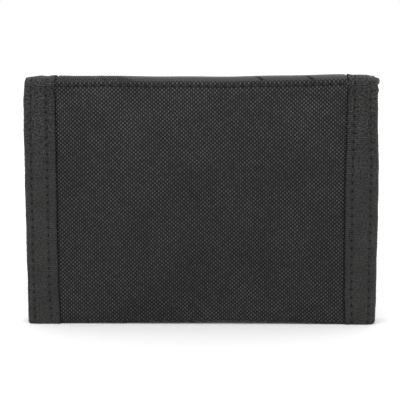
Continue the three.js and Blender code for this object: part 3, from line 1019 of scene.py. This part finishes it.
def pockets():
    cards = [(f"card_pocket_{number}", 7, 0.2, 5.6) for number in (1, 2, 3)]
    for node, turn_in, thickness, sewn_below in (*cards, ("bill_pocket_wall", 8, 0.22, 6)):
        low, high = corners(node)
        m = mid_m(node, BACK)
        flat_cloth(node + "_cloth", BACK, hemmed(m, low[2], high[2], turn_in), (node,), "back_half",
                   thickness=thickness, sway=0.05)
        straight_row(node + "_stitches", BACK, m - thickness / 2, high[2] - sewn_below,
                     "back_half", RIBBON_INNER - 0.5, "lining_cloth")
    low, high = corners("coin_pocket_lining")
    path = swung(mid_m("coin_pocket_lining", FRONT), low[2], 5.2)
    flat_cloth("coin_pocket_cloth", FRONT, path, ("coin_pocket_lining",), "front_half",
               thickness=0.22, sway=0.04)
    for side, node, body, m, m_high in (
        (FRONT, "front_interlining", "front_half", mid_m("front_interlining", FRONT), 4.85),
        (BACK, "back_interlining", "back_half", COVER_FACE - 1.35, COVER_FACE - 1.0),
    ):
        low, high = corners(node)
        path = swung(m, low[2], m_high)
        flat_cloth(node + "_sheet", side, path, (node,), body, thickness=0.25,
                   material=INTERLINING, slot="interlining", sway=0.03)


# ---- window, strips

def identity_window():
    """Clear film with a thumb notch in its open top edge, and the ribbon sewn along its bottom."""
    low, high = corners("id_window")
    m, notch = mid_m("id_window", FRONT), 9.0
    xs = np.unique(np.r_[np.linspace(-SHEET_HALF, SHEET_HALF, 90), np.linspace(-notch, notch, 41)])
    top = high[2] - np.sqrt(np.clip(notch ** 2 - xs ** 2, 0, None))
    share = np.linspace(0, 1, 44)[:, None]
    z = low[2] + (top - low[2]) * share
    x = xs + 0 * z
    free = smooth((z - low[2]) / 20) * (1 - (np.abs(x) / SHEET_HALF) ** 6)
    past_leg = 0.45 * smooth((z - 71) / 7)  # the ribbons' inner legs bend outwards up there
    y = Y_MID + m + past_leg - 0.12 * free * (1 + np.sin(x / 9.0 + z / 21.0))
    points = settle(np.stack([x, y, z], -1))
    obj = build("id_window_film", (points, grid_faces(*x.shape, True)), FILM)
    thicken(obj, 0.18, 0.0)
    attach(obj, "front_half", "clear_film", "id_window")

    low, high = corners("id_window_tape")
    middle, half = (low[2] + high[2]) / 2, (high[2] - low[2]) / 2
    m = mid_m("id_window_tape", FRONT)
    xs, zs = np.arange(-RIBBON_INNER, RIBBON_INNER, RIB / 4), np.linspace(-half, half, 25)
    x, rise = np.meshgrid(xs, zs)
    hole_row = np.exp(-((np.abs(rise) - half + 0.9) / 0.25) ** 2)
    # needle holes, with painted shade along their whole row
    holes_and_painted_shade = hole_row * (0.2 + 0.8 * np.exp(-(to_hole(x, STITCH) / 0.3) ** 2))
    y = Y_MID + m - 0.03 * np.sin(2 * math.pi * x / RIB) + 0.12 * holes_and_painted_shade
    weave = np.stack([rise + half, x, 0 * x], -1)
    points = settle(np.stack([x, y, middle + rise], -1))
    tape = build("id_window_tape_ribbon", (points, grid_faces(*x.shape)), RIBBON, weave, holes_and_painted_shade)
    thicken(tape, 0.3)
    # The tape is cut 2 * half wide, so flat's length is that least value and not the cut's; area
    # is the cut's true area.
    attach(tape, "front_half", "binding_ribbon", "id_window_tape")
    for end, z in (("upper", high[2] - 0.9), ("lower", low[2] + 0.9)):
        straight_row(f"id_window_tape_{end}_stitches", FRONT, m - 0.02, z, "front_half",
                     RIBBON_INNER - 0.6, "binding_ribbon")


def rounded_pad(low, high, side, m_back, m_face, corner=1.2):
    """A thin pad with rounded corners and a softened face, between two values of m."""
    steps = 6
    half_x, half_z = (high[0] - low[0]) / 2, (high[2] - low[2]) / 2
    middle = np.array([(low[0] + high[0]) / 2, 0, (low[2] + high[2]) / 2])
    outline = []
    for cx, cz, start in ((1, 1, 0), (-1, 1, 90), (-1, -1, 180), (1, -1, 270)):
        for angle in np.radians(np.linspace(start, start + 90, steps)):
            outline.append((cx * (half_x - corner) + corner * np.cos(angle),
                            cz * (half_z - corner) + corner * np.sin(angle)))
    outline = np.array(outline)
    rings = []
    for inset, m in ((0, m_back), (0, m_face + 0.1 * np.sign(m_back - m_face)), (0.12, m_face)):
        scale = 1 - inset / np.array([half_x, half_z])
        ring = outline * scale
        y = np.full(len(ring), Y_MID + side * m)
        rings.append(np.column_stack([ring[:, 0], y, ring[:, 1]]) + middle)
    return np.vstack(rings), ring_faces(3, len(outline))


def tube(path, radius, sides=4):
    """A thin closed tube along a short path."""
    rings, reference = [], np.array([0.31, 0.2, 0.93])  # no path here runs along the reference
    turn = np.linspace(0, 2 * math.pi, sides, endpoint=False)[:, None]
    for point, tangent in zip(path, np.gradient(path, axis=0)):
        tangent = tangent / np.linalg.norm(tangent)
        a = np.cross(tangent, reference)
        a /= np.linalg.norm(a)
        b = np.cross(tangent, a)
        rings.append(point + radius * (np.cos(turn) * a + np.sin(turn) * b))
    return np.vstack(rings), ring_faces(len(path), sides)


def fastener_strips():
    """Hooks on the front half and loops on the back half, each on a sewn pad."""
    rng = np.random.default_rng(7)
    low, high = corners("hook_strip")
    m_wall, m_tip = high[1] - Y_MID, low[1] - Y_MID
    pad_m = m_wall - 0.6
    parts = [rounded_pad(low, high, FRONT, m_wall, pad_m)]
    bend, curl = np.radians(np.linspace(0, 200, 6)), 0.2
    hook_height = pad_m - m_tip - 0.04
    for x in np.arange(low[0] + 2.2, high[0] - 1.8, 1.15):
        for z in np.arange(low[2] + 2.2, high[2] - 1.8, 1.2):
            lean = 1 if rng.random() < 0.5 else -1
            stem = np.array([[x, pad_m + 0.05, z], [x, pad_m - hook_height + curl, z]])
            top = np.column_stack([0 * bend + x, pad_m - hook_height + curl - curl * np.sin(bend),
                                   z + lean * curl * (1 - np.cos(bend))])
            path = np.vstack([stem, top[1:]])
            path[:, 1] += Y_MID
            parts.append(tube(path, 0.075))
    points, faces = combine(parts)
    hooks = build("hook_strip_pad", (settle(points), faces), FASTENER)
    attach(hooks, "front_half", "hook_and_loop", "hook_strip")
    hook_face = pad_m

    low, high = corners("loop_strip")
    m_wall, m_tip = Y_MID - low[1], Y_MID - high[1]
    pad_m = m_wall - 0.3
    parts = [rounded_pad(low, high, BACK, m_wall, pad_m)]
    arch = np.linspace(0, math.pi, 6)
    for _ in range(1500):
        x = rng.uniform(low[0] + 1.4, high[0] - 1.4)
        z = rng.uniform(low[2] + 1.4, high[2] - 1.4)
        heading, reach = rng.uniform(0, math.pi), rng.uniform(0.25, 0.5)
        tall = rng.uniform(0.15, pad_m - m_tip - 0.06)
        offset = -reach * np.cos(arch)
        path = np.column_stack([x + offset * math.cos(heading),
                                Y_MID - (pad_m + 0.03 - tall * np.sin(arch)),
                                z + offset * math.sin(heading)])
        parts.append(tube(path, 0.035, 3))
    points, faces = combine(parts)
    loops = build("loop_strip_pad", (settle(points), faces), FASTENER)
    attach(loops, "back_half", "hook_and_loop", "loop_strip")

    for node, side, body, face in (("hook_strip", FRONT, "front_half", hook_face),
                                   ("loop_strip", BACK, "back_half", pad_m)):
        low, high = corners(node)
        box = [(low[0] + 1, low[2] + 1), (high[0] - 1, low[2] + 1), (high[0] - 1, high[2] - 1),
               (low[0] + 1, high[2] - 1), (low[0] + 1, low[2] + 1)]
        runs = []
        for (x0, z0), (x1, z1) in zip(box[:-1], box[1:]):
            t = np.linspace(0, 1, 12)
            line = settle(np.stack([x0 + (x1 - x0) * t, 0 * t + Y_MID + side * face,
                                    z0 + (z1 - z0) * t], -1))
            runs.append(sewn(line, np.tile([0.0, -side, 0.0], (12, 1)), pitch=2.6, sink=0.05,
                             radius=0.14))
        stitches = build(node + "_stitches", combine(runs), THREAD_LOOK)
        attach(stitches, body, "hook_and_loop")


# ---- zip

def zip_fastener():
    for half_name, sign in (("upper", 1), ("lower", -1)):
        low, high = corners(f"zip_tape_{half_name}")
        near, far = ZIP_Z + sign * 0.5, (high[2] if sign > 0 else low[2])
        m = mid_m(f"zip_tape_{half_name}", FRONT)
        xs, zs = np.linspace(low[0], high[0], 161), np.linspace(near, far, 15)
        x, z = np.meshgrid(xs, zs if sign > 0 else zs[::-1])
        y = Y_MID + m + 0.03 * np.sin(x / 3.1) * np.sin(z)
        weave = np.stack([x / 0.9, z / 0.35, 0 * x], -1)
        tape = build(f"zip_tape_{half_name}_cloth",
                     (np.stack([x, y, z], -1), grid_faces(*x.shape, True)), ZIP_TAPE, weave)
        thicken(tape, 0.3, 0.0)
        attach(tape, "front_half", "zip_tape", f"zip_tape_{half_name}")

        low, high = corners(f"zip_coil_{half_name}")
        pitch = 1.15
        base, tip = low[1] + 0.12, high[1] - 0.12
        starts, ends = [], []
        for x in np.arange(low[0] + 0.6 + (pitch / 2 if sign > 0 else 0), high[0] - 0.5, pitch):
            starts.append((x, (base + tip) / 2 + 0.1, ZIP_Z + sign * 0.28))
            ends.append((x + 0.12, (base + tip) / 2, ZIP_Z + sign * 2.1))
        starts, ends = np.array(starts), np.array(ends)
        up = np.tile([0.0, 1.0, 0.0], (len(starts), 1))
        teeth = rods(starts, ends, up, 0.36, (tip - base) / 2)
        cord_z = ZIP_Z + sign * 1.55
        core = tube(np.array([(x, base + 0.3, cord_z) for x in (low[0], high[0])]), 0.4, 10)
        coil = build(f"zip_coil_{half_name}_teeth", combine([teeth, core]), COIL)
        attach(coil, "front_half", "zip_coil", f"zip_coil_{half_name}")
    for node in ("zip_top_stop_upper", "zip_top_stop_lower", "zip_bottom_stop"):
        low, high = corners(node)
        attach(crimp(node + "_crimp", low, high), "front_half", "zip_metal", node)


def crimp(name, low, high):
    """A small staple of bent strip: a domed back with its edges rolled over."""
    xs, zs = np.linspace(low[0], high[0], 7), np.linspace(low[2], high[2], 11)
    x, z = np.meshgrid(xs, zs)
    a = np.abs(2 * (x - low[0]) / (high[0] - low[0]) - 1)
    b = np.abs(2 * (z - low[2]) / (high[2] - low[2]) - 1)
    dome = (1 - 0.5 * a ** 4) * (1 - b ** 6)
    y = low[1] - 0.25 + (high[1] - low[1] + 0.25) * dome
    obj = build(name, (np.stack([x, y, z], -1), grid_faces(*x.shape, True)), METAL)
    return thicken(obj, 0.25)


def cut_plate(name, outline, holes, thickness, bevel=0.14):
    """A plate cut to an outline in X and Z with holes in it, centred on Y = 0, in millimetres."""
    curve = bpy.data.curves.new(name, "CURVE")
    curve.dimensions = "2D"
    curve.fill_mode = "BOTH"
    curve.extrude = (thickness / 2 - bevel) * MM
    curve.bevel_depth = bevel * MM
    curve.bevel_resolution = 2
    curve.offset = -bevel * MM
    for points in (outline, *holes):
        spline = curve.splines.new("POLY")
        spline.points.add(len(points) - 1)
        for point, (x, z) in zip(spline.points, points):
            point.co = (x * MM, z * MM, 0, 1)
        spline.use_cyclic_u = True
    flat = bpy.data.objects.new(name + "_outline", curve)
    bpy.context.scene.collection.objects.link(flat)
    graph = bpy.context.evaluated_depsgraph_get()
    mesh = bpy.data.meshes.new_from_object(flat.evaluated_get(graph))
    bpy.data.objects.remove(flat)
    points = np.array([v.co for v in mesh.vertices]) / MM
    faces = [list(p.vertices) for p in mesh.polygons]
    return np.column_stack([points[:, 0], -points[:, 2], points[:, 1]]), faces


def circle(x, z, radius, start=0, end=360, steps=20):
    a = np.radians(np.linspace(start, end, steps, endpoint=abs(end - start) < 360))
    return [(x + radius * math.cos(t), z + radius * math.sin(t)) for t in a]


def zip_puller():
    low, high = corners("zip_puller")
    x0, y, z = low[0], (low[1] + high[1]) / 2, (low[2] + high[2]) / 2
    length, wide = high[0] - low[0], (high[2] - low[2]) / 2
    narrow, loop, arm = wide - 0.5, 1.05, 0.8
    round_end = [(length - narrow + narrow * math.cos(t), narrow * math.sin(t))
                 for t in np.radians(np.linspace(-70, 70, 14))]
    outline = [(0.35, -wide), (3.2, -wide), (4.6, -narrow * 0.72), (6.5, -narrow * 0.72),
               (9.5, -narrow), *round_end, (9.5, narrow), (6.5, narrow * 0.72), (4.6, narrow * 0.72),
               (3.2, wide), (0.35, wide), (0, wide - 0.35), (0, -wide + 0.35)]
    window = [(arm, -loop), (arm, loop), (3.3, loop), (3.9, loop - 0.5), (3.9, 0.5 - loop),
              (3.3, -loop)]
    slot = (circle(length - narrow, 0, narrow - 1.35, -90, 90, 9)
            + circle(9.8, 0, narrow - 1.35, 90, 270, 9))
    points, faces = cut_plate("zip_puller_plate", outline, [window, slot], high[1] - low[1])
    points = points + np.array([x0, y, z])
    obj = build("zip_puller_plate", (points, faces), METAL)
    for polygon in obj.data.polygons:
        polygon.use_smooth = False
    attach(obj, "puller", "zip_metal", "zip_puller")


def zip_slider():
    """A die-cast slider: a shield-shaped top plate with rolled sides, a plate behind the tape and
    the post between them, and a bridge that holds the puller."""
    low, high = corners("zip_slider")
    cx, cz = (low[0] + high[0]) / 2, (low[2] + high[2]) / 2
    half, wide = (high[0] - low[0]) / 2, (high[2] - low[2]) / 2
    tip = wide - 0.9
    shield = [(-half + 0.6, -tip), (-half + 2.4, -wide), (half - 2.8, -wide), (half, -tip),
              (half, tip), (half - 2.8, wide), (-half + 2.4, wide), (-half + 0.6, tip),
              (-half, tip * 0.5), (-half, -tip * 0.5)]
    plates = []
    for y_low, y_high in ((low[1], low[1] + 0.5), (low[1] + 2.95, low[1] + 3.45)):
        points, faces = cut_plate("slider_plate", shield, [], y_high - y_low)
        plates.append((points + np.array([cx, (y_low + y_high) / 2, cz]), faces))
    post = rods(np.array([[cx + 1.2, low[1] + 0.4, cz]]), np.array([[cx + 1.2, low[1] + 3.1, cz]]),
                np.array([[1.0, 0, 0]]), 0.2, 0.2)
    foot, top = low[1] + 3.3, high[1]
    arch = [(-3.0, foot), (-2.7, top - 0.9), (-2.0, top - 0.25), (0, top - 0.1), (2.0, top - 0.25),
            (2.7, top - 0.9), (3.0, foot)]
    path = np.array([[cx + x, y - 0.35 * (y > foot), cz] for x, y in arch])
    bridge = strap(path, 0.35, 0.7)
    obj = build("zip_slider_body", combine([*plates, post, bridge]), METAL)
    for polygon in obj.data.polygons:
        polygon.use_smooth = len(polygon.vertices) == 4
    attach(obj, "slider", "zip_metal", "zip_slider")


def strap(path, half_thick, half_wide):
    """A bar of rounded section that follows a path in the XY plane."""
    fine = np.linspace(0, len(path) - 1, 25)
    knots = np.arange(len(path))
    centre = taken_at(fine, knots, path)
    for _ in range(2):
        centre[1:-1] = (centre[:-2] + 2 * centre[1:-1] + centre[2:]) / 4
    tangent = np.gradient(centre, axis=0)
    tangent /= np.linalg.norm(tangent, axis=1, keepdims=True)
    side = np.array([0.0, 0.0, 1.0])
    normal = np.cross(side, tangent)
    turn = np.linspace(0, 2 * math.pi, 16, endpoint=False)
    square_c = np.sign(np.cos(turn)) * np.abs(np.cos(turn)) ** 0.5
    square_s = np.sign(np.sin(turn)) * np.abs(np.sin(turn)) ** 0.5
    rings = (centre[:, None] + half_thick * square_c[None, :, None] * normal[:, None]
             + half_wide * square_s[None, :, None] * side)
    return rings.reshape(-1, 3), ring_faces(*rings.shape[:2])


# ---- stage

def aim(obj, target, azimuth, elevation, distance, roll=0.0):
    """Puts an object round a target, looking at it; azimuth 0 faces the back panel."""
    a, e = math.radians(azimuth), math.radians(elevation)
    away = Vector((math.sin(a) * math.cos(e), -math.cos(a) * math.cos(e), math.sin(e)))
    obj.location = Vector(target.tolist()) + distance * away
    obj.rotation_mode = "QUATERNION"
    turn = Quaternion((0, 0, 1), math.radians(roll))
    obj.rotation_quaternion = (-away).to_track_quat("-Z", "Y") @ turn


def stage():
    """A pale floor, white surroundings, soft lights, and the camera at the photo's angle."""
    bpy.ops.mesh.primitive_plane_add(size=6)
    floor = bpy.context.object
    floor.name = "floor"
    look = Look("pale_floor")
    grain = look.noise(look.place(), 4.0, 2.0)
    pale = look.times((0.92, 0.92, 0.92), look.spread(grain, 0.98, 1.0))
    floor.data.materials.append(look.finish(pale, 0.9))

    scene = bpy.context.scene
    world = bpy.data.worlds.new("studio")
    world.use_nodes = True
    world.node_tree.nodes["Background"].inputs[0].default_value = (1, 1, 1, 1)
    world.node_tree.nodes["Background"].inputs[1].default_value = 1.0
    scene.world = world
    scene.view_settings.view_transform = "Standard"
    centre = np.array([0, 0, TURN_Z / 2 * MM])
    # Each light's place round the wallet in degrees and metres, its size and its power.
    for name, kind, azimuth, elevation, distance, size, power in (
        ("overhead", "SUN", -20, 68, 1.0, 1.2, 0.9),
        ("key", "AREA", -15, 55, 0.5, 0.4, 0.35),
        ("back", "AREA", 170, 45, 1.0, 0.7, 1.0),
    ):
        light = bpy.data.lights.new(name, kind)
        light.energy = power
        setattr(light, "angle" if kind == "SUN" else "size", size)
        lamp = bpy.data.objects.new(name, light)
        scene.collection.objects.link(lamp)
        aim(lamp, centre, azimuth, elevation, distance)

    camera = bpy.data.objects.new("camera", bpy.data.cameras.new("camera"))
    scene.collection.objects.link(camera)
    distance, seen, sensor = 0.52, 0.1495, 36  # metres away, metres across the frame, millimetres
    camera.data.sensor_width = sensor
    camera.data.lens = sensor * distance / seen
    camera.data.clip_start = 0.01
    target = np.array([-0.15 * MM, Y_MID * MM, 46.0 * MM])
    aim(camera, target, 2.0, 7.5, distance, roll=-0.28)
    scene.camera = camera


stage()
back_panel()
spine_back()
front_upper()
front_lower()
for side_name in ("left", "right"):
    for half in (FRONT, BACK):
        side_ribbon(side_name, half)
linings()
pockets()
identity_window()
fastener_strips()
zip_fastener()
zip_slider()
zip_puller()
